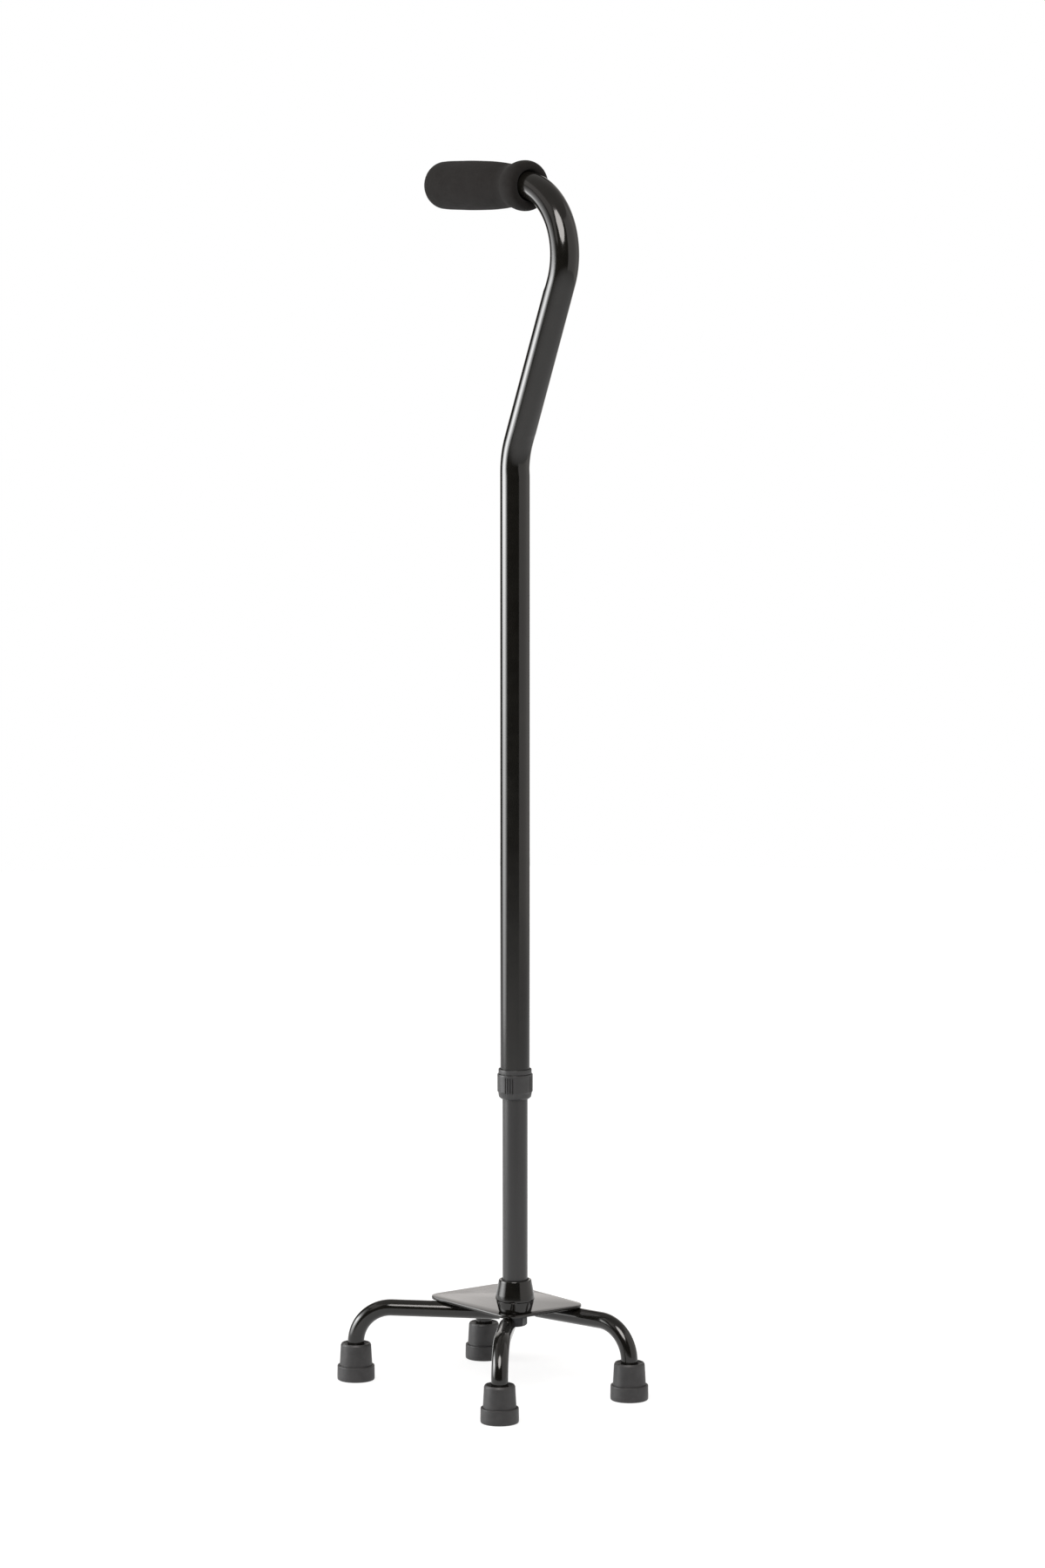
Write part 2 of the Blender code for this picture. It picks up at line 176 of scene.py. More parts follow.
def face_shaft(piece, height):
    """Turns a flat panel to face the shaft's axis at a height."""
    sight = around_shaft(0, 0, height) - piece.location
    piece.rotation_euler = sight.to_track_quat("Z", "Y").to_euler()


def strip_light(name, angle, distance, width, low, high, level, stops):
    bm = bmesh.new()
    bmesh.ops.create_grid(bm, x_segments=1, y_segments=1, size=0.5)
    bmesh.ops.scale(bm, vec=(width, high - low, 1), verts=bm.verts)
    piece = studio_piece(name, bm, glow(name, level, stops, high - low, width / 2))
    piece.location = around_shaft(angle, distance, (low + high) / 2)
    face_shaft(piece, (low + high) / 2)


def round_light(name, angle, distance, height, radius, level, aim_height):
    bm = bmesh.new()
    bmesh.ops.create_circle(bm, cap_ends=True, segments=8, radius=radius)
    piece = studio_piece(name, bm, glow(name, level))
    piece.location = around_shaft(angle, distance, height)
    face_shaft(piece, aim_height)


def curved_wall(name, first, last, distance, low, high, level):
    """A wall round the shaft between two angles, with a facet for every five degrees or so."""
    bm = bmesh.new()
    steps = round(abs(last - first) / 5)
    foot, head = ([bm.verts.new(around_shaft(first + (last - first) * k / steps, distance, z))
                   for k in range(steps + 1)] for z in (low, high))
    for k in range(steps):
        bm.faces.new((foot[k], foot[k + 1], head[k + 1], head[k]))
    studio_piece(name, bm, glow(name, level))


def make_world():
    """Pure white to the camera and nearly dark to everything else."""
    world = bpy.data.worlds.new("studio")
    bpy.context.scene.world = world
    world.use_nodes = True
    nodes, links = world.node_tree.nodes, world.node_tree.links
    nodes.clear()
    out = nodes.new("ShaderNodeOutputWorld")
    mix = nodes.new("ShaderNodeMixShader")
    seen, room = nodes.new("ShaderNodeBackground"), nodes.new("ShaderNodeBackground")
    ray = nodes.new("ShaderNodeLightPath")
    seen.inputs["Color"].default_value = (1.0, 1.0, 1.0, 1.0)
    room.inputs["Color"].default_value = (0.03, 0.03, 0.03, 1.0)
    links.new(ray.outputs["Is Camera Ray"], mix.inputs[0])
    links.new(room.outputs[0], mix.inputs[1])
    links.new(seen.outputs[0], mix.inputs[2])
    links.new(mix.outputs[0], out.inputs[0])


def make_studio():
    """A soft strip on the left is brightest just under half height. A high octagonal box stands near
    the camera, and pale walls run from the right round to the back. The front stays dark, which gives
    the gloss its black core. Angles go clockwise from the camera's side."""
    make_world()
    strip_light("left_strip", angle=92, distance=1.7, width=2.15, low=0.0, high=1.6, level=18.0,
                stops=[(0.0, 0.25), (0.06, 0.31), (0.19, 0.53), (0.29, 0.74), (0.35, 0.95), (0.39, 1.0),
                       (0.44, 0.76), (0.52, 0.34), (0.63, 0.16), (0.75, 0.09), (1.0, 0.0)])
    round_light("high_box", angle=8, distance=1.8, height=1.94, radius=0.78, level=11.0, aim_height=0.6)
    for name, first, last, distance, low, high, level in (
            ("right_wall", -32, -122, 2.4, 0.0, 3.2, 0.96),
            ("far_right_wall", -122, -160, 2.6, 0.0, 3.2, 0.45),
            ("back_wall", -160, -205, 3.2, 0.0, 2.0, 1.05),
            ("left_wall", 42, 125, 2.0, 1.1, 2.8, 0.9)):
        curved_wall(name, first, last, distance, low, high, level)
    bm = bmesh.new()
    bmesh.ops.create_circle(bm, cap_ends=True, segments=32, radius=3.2)
    studio_piece("ceiling", bm, glow("ceiling", 0.4)).location = SHAFT + Vector((0, 0, 3.4))
    bpy.context.scene.view_settings.view_transform = "Standard"


def make_floor():
    """A pale floor that looks white. Its glow on the cane dies away from the middle, and what the
    camera sees dips near the tips, which leaves their faint shadows."""
    bm = bmesh.new()
    bmesh.ops.create_circle(bm, cap_ends=True, segments=96, radius=3.1)
    mesh = bpy.data.meshes.new("floor")
    bm.to_mesh(mesh)
    bm.free()
    floor = bpy.data.objects.new("floor", mesh)
    floor.location = (0, 0, -0.0002)
    bpy.context.scene.collection.objects.link(floor)
    made = bpy.data.materials.new("pale_floor")
    made.use_nodes = True
    nodes, links = made.node_tree.nodes, made.node_tree.links
    shader = nodes["Principled BSDF"]
    shader.inputs["Base Color"].default_value = (0.2, 0.2, 0.2, 1.0)
    shader.inputs["Roughness"].default_value = 0.9
    shader.inputs["Specular IOR Level"].default_value = 0.1
    shader.inputs["Emission Color"].default_value = (1.0, 1.0, 1.0, 1.0)
    reach = nodes.new("ShaderNodeVectorMath")
    reach.operation = "LENGTH"
    links.new(nodes.new("ShaderNodeTexCoord").outputs["Object"], reach.inputs[0])

    def fade(near, far, first, last):
        ramp = nodes.new("ShaderNodeMapRange")
        for socket, value in zip(("From Min", "From Max", "To Min", "To Max"), (near, far, first, last)):
            ramp.inputs[socket].default_value = value
        links.new(reach.outputs["Value"], ramp.inputs["Value"])
        return ramp.outputs["Result"]

    seen = nodes.new("ShaderNodeMix")
    links.new(nodes.new("ShaderNodeLightPath").outputs["Is Camera Ray"], seen.inputs["Factor"])
    links.new(fade(near=0.9, far=2.9, first=0.85, last=0.15), seen.inputs["A"])
    links.new(fade(near=0.16, far=0.5, first=0.83, last=1.0), seen.inputs["B"])
    links.new(seen.outputs["Result"], shader.inputs["Emission Strength"])
    floor.data.materials.append(made)


# ---------------------------------------------------------------- materials
class Finish:
    """A Principled material and short calls for the nodes behind its sockets."""

    def __init__(self, name, colour, roughness, metallic=0.0, **sockets):
        self.material = bpy.data.materials.new(name)
        self.material.use_nodes = True
        self.nodes = self.material.node_tree.nodes
        self.links = self.material.node_tree.links
        self.shader = self.nodes["Principled BSDF"]
        self.shader.inputs["Base Color"].default_value = (*colour, 1.0)
        self.shader.inputs["Roughness"].default_value = roughness
        self.shader.inputs["Metallic"].default_value = metallic
        for socket, value in sockets.items():
            self.shader.inputs[socket.replace("_", " ")].default_value = value
        self.place = self.nodes.new("ShaderNodeTexCoord").outputs["Object"]
        self.normal = None

    def noise(self, scale, detail=4.0, roughness=0.55, stretch=None):
        node = self.nodes.new("ShaderNodeTexNoise")
        node.inputs["Scale"].default_value = scale
        node.inputs["Detail"].default_value = detail
        node.inputs["Roughness"].default_value = roughness
        self.links.new(self.stretched(stretch), node.inputs["Vector"])
        return node.outputs["Fac"]

    def cells(self, scale):
        node = self.nodes.new("ShaderNodeTexVoronoi")
        node.inputs["Scale"].default_value = scale
        self.links.new(self.place, node.inputs["Vector"])
        return node.outputs["Distance"]

    def stretched(self, stretch):
        if stretch is None:
            return self.place
        node = self.nodes.new("ShaderNodeMapping")
        node.inputs["Scale"].default_value = stretch
        self.links.new(self.place, node.inputs["Vector"])
        return node.outputs["Vector"]

    def colour(self, factor, dark, light, start=0.35, end=0.65):
        node = self.nodes.new("ShaderNodeValToRGB")
        stops = ((start, dark), (end, light))
        for element, (position, colour) in zip(node.color_ramp.elements, stops):
            element.position = position
            element.color = (*colour, 1.0)
        self.links.new(factor, node.inputs["Fac"])
        self.links.new(node.outputs["Color"], self.shader.inputs["Base Color"])

    def roughness(self, factor, low, high):
        node = self.nodes.new("ShaderNodeMapRange")
        node.inputs["From Min"].default_value = 0.3
        node.inputs["From Max"].default_value = 0.7
        node.inputs["To Min"].default_value = low
        node.inputs["To Max"].default_value = high
        self.links.new(factor, node.inputs["Value"])
        self.links.new(node.outputs["Result"], self.shader.inputs["Roughness"])

    def bump(self, factor, distance, strength):
        node = self.nodes.new("ShaderNodeBump")
        node.inputs["Strength"].default_value = strength
        node.inputs["Distance"].default_value = distance
        self.links.new(factor, node.inputs["Height"])
        if self.normal:
            self.links.new(self.normal, node.inputs["Normal"])
        self.normal = node.outputs["Normal"]
        self.links.new(self.normal, self.shader.inputs["Normal"])


def gloss_black(name):
    """Thick gloss coating: deep black, with a faint orange peel and handling haze."""
    made = Finish(name, (0.0046, 0.0042, 0.0034), 0.12)
    made.colour(made.noise(90, 3), (0.0040, 0.0037, 0.0030), (0.0056, 0.0052, 0.0043))
    made.roughness(made.noise(35, 5), 0.10, 0.16)
    made.bump(made.noise(420, 2), 0.00002, 0.25)
    return made.material


def satin_black():
    """The lower tube's thinner satin coating, with fine drawing lines and rub marks along it."""
    made = Finish("satin_black_tube", (0.015, 0.0148, 0.015), 0.30)
    made.colour(made.noise(60, 4, stretch=(1, 1, 0.12)), (0.013, 0.0128, 0.013), (0.018, 0.0178, 0.018))
    made.roughness(made.noise(300, 4, stretch=(1, 1, 0.03)), 0.26, 0.36)
    made.bump(made.noise(1400, 3, stretch=(1, 1, 0.02)), 0.00002, 0.3)
    return made.material


def foam():
    """Closed-cell foam: matte charcoal with a fine open grain where the cells are cut."""
    made = Finish("foam_charcoal", (0.0068, 0.0060, 0.0056), 0.92, Specular_IOR_Level=0.12,
                  Sheen_Weight=0.03, Sheen_Roughness=0.6)
    made.colour(made.noise(520, 6, 0.7), (0.0048, 0.0042, 0.0039), (0.0092, 0.0081, 0.0075), 0.3, 0.7)
    made.roughness(made.noise(120, 3), 0.86, 0.97)
    made.bump(made.cells(1500), 0.00018, 0.45)
    made.bump(made.noise(700, 4), 0.00012, 0.5)
    return made.material


def moulded_black():
    """Fine spark-eroded mould texture on black plastic."""
    made = Finish("moulded_black_plastic", (0.020, 0.020, 0.0205), 0.42)
    made.colour(made.noise(160, 4), (0.017, 0.017, 0.0175), (0.024, 0.024, 0.0245))
    made.roughness(made.noise(240, 4), 0.36, 0.50)
    made.bump(made.noise(2600, 2), 0.00003, 0.35)
    return made.material


def rubber():
    """Moulded rubber with a dull, slightly uneven shine."""
    made = Finish("tip_rubber", (0.016, 0.0155, 0.0161), 0.46)
    made.colour(made.noise(190, 5), (0.0125, 0.0121, 0.0126), (0.0195, 0.0189, 0.0196))
    made.roughness(made.noise(110, 4), 0.44, 0.58)
    made.bump(made.noise(1800, 3), 0.00005, 0.4)
    return made.material


def zinc(name="zinc_plate", colour=(0.50, 0.50, 0.51)):
    """Zinc plate with a cloudy grain."""
    made = Finish(name, colour, 0.34, 1.0)
    shade = tuple(c * 0.72 for c in colour)
    made.colour(made.noise(260, 5), shade, colour)
    made.roughness(made.noise(400, 4), 0.28, 0.46)
    made.bump(made.noise(1500, 3), 0.00003, 0.3)
    return made.material


def natural_plastic():
    """Unpigmented plastic of the sliding pieces."""
    made = Finish("natural_plastic", (0.66, 0.65, 0.61), 0.48)
    made.colour(made.noise(80, 4), (0.60, 0.59, 0.55), (0.70, 0.69, 0.66))
    made.roughness(made.noise(200, 3), 0.42, 0.55)
    made.bump(made.noise(1600, 2), 0.00003, 0.3)
    return made.material


# ---------------------------------------------------------------- mesh helpers
def smoothed(mesh):
    mesh.shade_smooth()
    mesh.set_sharp_from_angle(angle=CREASE)


def as_object(name, bm, finish, body=None):
    """A piece from a bmesh in metres in the frame's own coordinates, riding on a body. A cutter has
    no body."""
    bmesh.ops.remove_doubles(bm, verts=bm.verts, dist=1e-7)
    bmesh.ops.recalc_face_normals(bm, faces=bm.faces)
    mesh = bpy.data.meshes.new(name)
    bm.to_mesh(mesh)
    bm.free()
    smoothed(mesh)
    piece = bpy.data.objects.new(name, mesh)
    piece.data.materials.append(finish)
    bpy.context.scene.collection.objects.link(piece)
    if body:
        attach(piece, body)
    return piece


def skin(bm, here, there):
    """Quads between two rings of equal size."""
    for k in range(len(here)):
        nxt = (k + 1) % len(here)
        bm.faces.new((here[k], here[nxt], there[nxt], there[k]))


def capped_stack(bm, rings):
    for here, there in zip(rings, rings[1:]):
        skin(bm, here, there)
    bm.faces.new(rings[0])
    bm.faces.new(rings[-1])


def rounded(points, radius):
    """An outline with its inner corners rounded. A point may carry its own radius."""
    made = []
    steps = 4
    for i, point in enumerate(points):
        size = point[2] if len(point) > 2 else radius
        here = Vector(point[:2])
        if i in (0, len(points) - 1) or size == 0:
            made.append(tuple(here))
            continue
        before, after = Vector(points[i - 1][:2]) - here, Vector(points[i + 1][:2]) - here
        turn = math.pi - before.angle(after)
        if turn < math.radians(3):
            made.append(tuple(here))
            continue
        reach = min(size * math.tan(turn / 2), before.length * 0.49, after.length * 0.49)
        start, end = here + before.normalized() * reach, here + after.normalized() * reach
        for k in range(steps + 1):
            t = k / steps
            made.append(tuple(start * (1 - t) ** 2 + here * 2 * t * (1 - t) + end * t ** 2))
    return made


def turned(name, profile, place, finish, body, slot, axis="Z", sides=96, shape=None):
    """Turns (radius, height) points in metres round an axis through place. A profile from radius 0 to
    radius 0 is solid, and any other closes on itself. shape changes (radius, height) by angle."""
    bm = bmesh.new()
    solid = profile[0][0] == 0 and profile[-1][0] == 0
    rings = []
    for i in range(sides):
        angle = 2 * math.pi * i / sides
        ring = []
        for r, h in profile:
            rr, hh = shape(angle, r, h) if shape else (r, h)
            u, v = rr * math.cos(angle), rr * math.sin(angle)
            ring.append(bm.verts.new(place + Vector((hh, u, v) if axis == "X" else (u, v, hh))))
        rings.append(ring)
    across = len(profile) - 1 if solid else len(profile)
    for i in range(sides):
        here, there = rings[i], rings[(i + 1) % sides]
        for k in range(across):
            nxt = (k + 1) % len(profile)
            bm.faces.new((here[k], here[nxt], there[nxt], there[k]))
    return as_object(name, bm, finish, body)


def bent_path(corners, bends, step=2.5):
    """Points along straight runs between corners, each inner corner rounded to its radius."""
    points = [Vector(corners[0])]
    for i, radius in enumerate(bends, start=1):
        corner = Vector(corners[i])
        inward = (Vector(corners[i - 1]) - corner).normalized()
        outward = (Vector(corners[i + 1]) - corner).normalized()
        turn = math.pi - inward.angle(outward)
        start = corner + inward * radius * math.tan(turn / 2)
        centre = corner + (inward + outward).normalized() * radius / math.cos(turn / 2)
        spoke, along = start - centre, -inward
        steps = max(3, round(math.degrees(turn) / step))
        for k in range(steps + 1):
            angle = turn * k / steps
            points.append(centre + spoke * math.cos(angle) + along * radius * math.sin(angle))
    points.append(Vector(corners[-1]))
    return points


def circle(radius, sides):
    return [(radius * math.cos(2 * math.pi * k / sides), radius * math.sin(2 * math.pi * k / sides))
            for k in range(sides)]


def pipe(name, path, side, outer, inner, finish, body, sides, press=None):
    """A tube swept along a path in a plane whose normal is side, its two ends deburred. press gives,
    for a station's number, how much the side towards the curve's middle is flattened and which side
    that is, 1 or -1."""
    bm = bmesh.new()
    side = Vector(side)
    stations = []
    for i, point in enumerate(path):
        before, after = path[max(i - 1, 0)], path[min(i + 1, len(path) - 1)]
        along = (after - before).normalized()
        up = side.cross(along)
        rings = []
        share, inward = press(i) if press else (0.0, 1)
        for radius in (outer, inner):
            ring = []
            for a, b in circle(radius, sides):
                if b * inward > 0:
                    b *= 1 - share
                ring.append(bm.verts.new(point + side * a + up * b))
            rings.append(ring)
        stations.append(rings)
    for here, there in zip(stations, stations[1:]):
        for ring, following in zip(here, there):
            skin(bm, ring, following)
    for end, inwards in ((0, 1), (-1, -1)):
        along = (path[end + inwards] - path[end]).normalized()
        outer_ring, inner_ring = stations[end]
        middle_ring = [bm.verts.new(a.co.lerp(b.co, 0.5)) for a, b in zip(outer_ring, inner_ring)]
        skin(bm, outer_ring, middle_ring)
        skin(bm, middle_ring, inner_ring)
        for vert in outer_ring + inner_ring:
            vert.co += along * DEBURR
    return as_object(name, bm, finish, body)


def cut(piece, cutter):
    """Cuts the piece with a closed cutter, keeps the result in its mesh and removes the cutter."""
    step = piece.modifiers.new("cut", "BOOLEAN")
    step.operation = "DIFFERENCE"
    step.solver = "EXACT"
    step.object = cutter
    bpy.context.view_layer.update()
    evaluated = piece.evaluated_get(bpy.context.evaluated_depsgraph_get())
    mesh = bpy.data.meshes.new_from_object(evaluated)
    piece.modifiers.clear()
    piece.data = mesh
    smoothed(mesh)
    bpy.data.objects.remove(cutter)


def hole_cutter(heights, wall_r, finish):
    """Round pins along -X through a tube's rear wall, flared where they leave it."""
    bm = bmesh.new()
    flared = HOLE_R + 0.45 * MM
    stops = [(HOLE_R, -(wall_r - 4 * MM)), (HOLE_R, -(wall_r - 0.35 * MM)),
             (flared, -(wall_r + 0.1 * MM)), (flared, -(wall_r + 3 * MM))]
    for height in heights:
        centre = SHAFT + Vector((0, 0, height))
        capped_stack(bm, [[bm.verts.new(centre + Vector((x, a, b))) for a, b in circle(r, 48)]
                          for r, x in stops])
    return as_object("hole_cutter", bm, finish)


# ---------------------------------------------------------------- upper shaft
BEND_FLATTENING = {1: 0.07, -1: 0.18}  # how far the lower and the upper bend press in the inner side
BEND_FADE = 9.0 * MM
BEND_FADE_STEPS = 6


def gooseneck_path():
    """Up the shaft, out along the slanting run, and round the top bend into the handle."""
    radius = GOOSE_UPPER_BEND
    rise = HANDLE_Z - radius - GOOSE_CORNER_Z
    centre_x = (rise * math.sin(GOOSE_TILT) - radius) / math.cos(GOOSE_TILT)
    centre = SHAFT + Vector((centre_x, 0, HANDLE_Z - radius))
    tangent = centre + radius * Vector((math.cos(GOOSE_TILT), 0, -math.sin(GOOSE_TILT)))
    foot, corner = SHAFT + Vector((0, 0, UPPER_FOOT)), SHAFT + Vector((0, 0, GOOSE_CORNER_Z))
    path = bent_path([foot, corner, tangent], [GOOSE_LOWER_BEND], step=1.5)
    steps = 64
    for k in range(1, steps + 1):
        angle = -GOOSE_TILT + (math.pi / 2 + GOOSE_TILT) * k / steps
        path.append(centre + radius * Vector((math.cos(angle), 0, math.sin(angle))))
    path.append(Vector((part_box("upper_tube")[0].x, SHAFT.y, HANDLE_Z)))
    return path


def make_upper_tube(finish):
    """The bent tube, pressed in a little on the inside of its bends, with its row of holes."""
    path = gooseneck_path()
    for i in range(len(path) - 1, 0, -1):  # close steps next to the bends, where the pressing fades
        run = path[i] - path[i - 1]
        if run.length > 2 * BEND_FADE:
            near = [run.normalized() * BEND_FADE * k / BEND_FADE_STEPS
                    for k in range(1, BEND_FADE_STEPS + 1)]
            path[i:i] = [path[i - 1] + step for step in near] + [path[i] - step for step in near[::-1]]
    lengths = [0.0]
    for a, b in zip(path, path[1:]):
        lengths.append(lengths[-1] + (b - a).length)
    turns = [0.0] + [(b - a).cross(c - b).y for a, b, c in zip(path, path[1:], path[2:])] + [0.0]
    bent = {sign: [lengths[i] for i, turn in enumerate(turns) if turn * sign > 1e-9]
            for sign in BEND_FLATTENING}

    def pressed(i):
        for sign, places in bent.items():
            reach = min(lengths[i] - places[0], places[-1] - lengths[i]) + BEND_FADE / 2
            if reach > 0:
                share = min(1.0, reach / BEND_FADE)
                return BEND_FLATTENING[sign] * share * share * (3 - 2 * share), sign
        return 0.0, 1

    piece = pipe("gooseneck_tube", path, (0, 1, 0), UPPER_R, UPPER_R - TUBE_WALL,
                 finish, "upper_shaft", sides=96, press=pressed)
    button_z = middle("snap_button").z
    heights = [button_z + HOLE_PITCH * k for k in range(-1, HOLE_COUNT - 1)]
    cut(piece, hole_cutter(heights, UPPER_R, finish))
    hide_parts("upper_tube")


def smooth_curve(points, steps):
    """A Catmull-Rom curve through the points, each stretch in that many steps."""
    ends = [points[0], *points, points[-1]]
    made = []
    for i in range(1, len(ends) - 2):
        a, b, c, d = (Vector(p) for p in ends[i - 1:i + 3])
        for k in range(steps):
            t = k / steps
            made.append(tuple(0.5 * (2 * b + (c - a) * t + (2 * a - 5 * b + 4 * c - d) * t ** 2
                                     + (3 * b - a - 3 * c + d) * t ** 3)))
    made.append(tuple(points[-1]))
    return made


def make_grip(finish):
    """The foam sleeve: a domed free end, a palm swell, a waist and a rounded flange at the mouth."""
    low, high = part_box("foam_grip")
    free_end, face = low.x - SHAFT.x, high.x - SHAFT.x
    bore = UPPER_R + 0.35 * MM
    dome_r, dome_depth = 17.75 * MM, 14.1 * MM
    dome = [(dome_r * math.sin(math.radians(a)), free_end + dome_depth * (1 - math.cos(math.radians(a))))
            for a in range(0, 90, 6)]
    body = smooth_curve([(dome_r, free_end + dome_depth), (18.1 * MM, -78 * MM), (18.25 * MM, -66 * MM),
                         (18.4 * MM, -53 * MM), (18.2 * MM, -38 * MM), (17.8 * MM, -25 * MM),
                         (17.0 * MM, -14 * MM), (16.1 * MM, -5 * MM), (16.35 * MM, 0.5 * MM),
                         (17.5 * MM, 5 * MM), (18.45 * MM, 9 * MM), (18.7 * MM, 12.5 * MM),
                         (18.35 * MM, 15.7 * MM), (17.1 * MM, 18.3 * MM), (14.9 * MM, face)], 8)
    inside = rounded([(13.6 * MM, face - 0.1 * MM), (12.3 * MM, face - 0.7 * MM, 1.2 * MM),
                      (bore + 0.1 * MM, face - 2.2 * MM, 1.2 * MM), (bore, face - 6 * MM),
                      (bore, free_end + 5.4 * MM, 0), (0, free_end + 5.4 * MM)], 0)
    piece = turned("foam_sleeve", dome + body + inside, Vector((SHAFT.x, SHAFT.y, HANDLE_Z)), finish,
                   "upper_shaft", "foam", axis="X", sides=112)
    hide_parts("foam_grip")


def make_collar(plastic):
    """The flange ring on the tube's foot. The nut's thread is cut on its neck."""
    low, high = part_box("collar_bushing")
    bore, cup = LOWER_R + GAP, UPPER_R + GAP
    seat, rim, neck = high.z - 3.6 * MM, 12.5 * MM, 12.0 * MM
    thread = []
    for turn in range(5):
        z = low.z + 0.8 * MM + turn * THREAD_PITCH
        thread += [(neck - 0.45 * MM, z), (neck, z + 0.5 * MM), (neck, z + 0.8 * MM)]
    outline = rounded([(bore, low.z), (neck - 0.5 * MM, low.z, 0.2 * MM)], 0) + thread + rounded(
        [(neck - 0.4 * MM, seat - 0.1 * MM), (neck, seat), (rim, seat, 0.25 * MM),
         (rim, high.z, 0.7 * MM), (cup + 0.1 * MM, high.z, 0.45 * MM), (cup, UPPER_FOOT - GAP, 0),
         (bore, UPPER_FOOT - GAP)], 0.2 * MM)
    piece = turned("collar_ring", outline, SHAFT, plastic, "upper_shaft", "black_plastic")
    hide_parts("collar_bushing")


RIB_GROUPS = 4
RIBS_PER_GROUP = 4
RIB_PITCH = math.radians(8.4)
RIB_WIDTH = math.radians(3.6)
RIB_DEPTH = 0.8 * MM
RIB_ANGLE = math.radians(-58.0)


def make_lock_nut(plastic):
    """The clamping nut, with four groups of finger grooves between smooth panels."""
    low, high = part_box("lock_nut")
    outer, bore, groove_floor = 13.33 * MM, LOWER_R + 0.4 * MM, 12.55 * MM
    step_z, groove_top = low.z + 5.2 * MM, high.z - 1.3 * MM
    outline = rounded([
        (bore, low.z + 0.4 * MM), (bore + 0.2 * MM, low.z), (10.8 * MM, low.z, 0.6 * MM),
        (12.2 * MM, low.z + 1.3 * MM, 1.6 * MM), (12.65 * MM, low.z + 4.4 * MM, 0.5 * MM),
        (outer - 0.5 * MM, step_z - 0.35 * MM, 0.3 * MM), (outer, step_z + 0.4 * MM, 0.5 * MM),
    ], 0.3 * MM)
    levels, wall_low, wall_high = 14, step_z + 0.6 * MM, high.z - 0.7 * MM
    outline += [(outer, wall_low + (wall_high - wall_low) * k / levels) for k in range(levels + 1)]
    outline += rounded([(outer, high.z - 0.6 * MM), (outer - 0.1 * MM, high.z, 0.6 * MM),
                        (12.4 * MM, high.z, 0.2 * MM), (12.4 * MM, low.z + 7.4 * MM),
                        (10.4 * MM, low.z + 1.2 * MM), (bore, low.z + 1.2 * MM)], 0.2 * MM)[1:]
    centres = [RIB_ANGLE + group * math.tau / RIB_GROUPS + (k - (RIBS_PER_GROUP - 1) / 2) * RIB_PITCH
               for group in range(RIB_GROUPS) for k in range(RIBS_PER_GROUP)]

    def grooved(angle, r, h):
        if r < 12.5 * MM or h < low.z + 4.2 * MM or h > high.z - 0.05 * MM:
            return r, h
        away = min(abs((angle - centre + math.pi) % math.tau - math.pi) for centre in centres)
        if away >= RIB_WIDTH / 2:
            return r, h
        depth = RIB_DEPTH * math.cos(math.pi * away / RIB_WIDTH) ** 0.6
        fade = min(1.0, max(0.0, (groove_top - h) / (0.9 * MM)))
        return min(r, max(r - depth * fade, groove_floor)), h

    piece = turned("ribbed_lock_nut", outline, SHAFT, plastic, "nut", "black_plastic", sides=480,
                   shape=grooved)
    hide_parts("lock_nut")


# ---------------------------------------------------------------- lower tube and hub
def make_lower_tube(finish):
    low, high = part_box("lower_tube")
    path = [SHAFT + Vector((0, 0, z)) for z in (low.z, high.z)]
    piece = pipe("inner_tube", path, (0, 1, 0), LOWER_R, LOWER_R - TUBE_WALL, finish, "base",
                 sides=96)
    cut(piece, hole_cutter([middle("snap_button").z], LOWER_R, finish))
    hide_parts("lower_tube")


def make_button(finish):
    """The height button: a round nose on a stem, with a flange behind the lower tube's wall."""
    low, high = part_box("snap_button")
    centre = middle("snap_button")
    stem, flange = 2.9 * MM, 3.6 * MM
    tip, back = low.x - centre.x, high.x - centre.x
    nose = [(stem * math.sin(math.radians(a)), tip + 2.2 * MM * (1 - math.cos(math.radians(a))))
            for a in range(0, 91, 9)]
    rest = rounded([(stem, tip + 2.4 * MM, 0), (stem, back - 0.8 * MM, 0),
                    (flange, back - 0.8 * MM), (flange, back), (0, back)], 0.2 * MM)
    piece = turned("height_button", nose + rest, centre, finish, "button", "zinc", axis="X", sides=64)
    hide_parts("snap_button")


def make_hub(finish):
    """Two stacked cones. The upper one hangs a little over the lower."""
    bore = LOWER_R + GAP
    low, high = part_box("hub_socket")
    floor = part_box("lower_tube")[0].z - GAP
    outline = rounded([
        (BOLT_HOLE_R, low.z), (12.2 * MM, low.z, 0.4 * MM), (12.6 * MM, low.z + 1.2 * MM, 1.5 * MM),
        (14.38 * MM, high.z - 0.1 * MM, 0.5 * MM), (13.6 * MM, high.z), (bore, high.z, 0),
        (bore, floor, 0), (BOLT_HOLE_R, floor),
    ], 0.5 * MM)
    socket = turned("hub_lower_cone", outline, SHAFT, finish, "base", "gloss_steel", sides=128)
    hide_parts("hub_socket")
    low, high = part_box("hub_collar")
    outline = rounded([
        (bore, low.z, 0), (14.3 * MM, low.z, 0.2 * MM), (14.83 * MM, low.z + 0.9 * MM, 1.2 * MM),
        (14.4 * MM, low.z + 4.2 * MM, 4 * MM), (12.6 * MM, high.z - 1.9 * MM, 2.5 * MM),
        (12.3 * MM, high.z, 0.9 * MM), (10.7 * MM, high.z, 0.7 * MM), (bore, high.z - 1.4 * MM, 0.4 * MM),
    ], 0.5 * MM)
    cone = turned("hub_upper_cone", outline, SHAFT, finish, "base", "gloss_steel", sides=128)
    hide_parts("hub_collar")


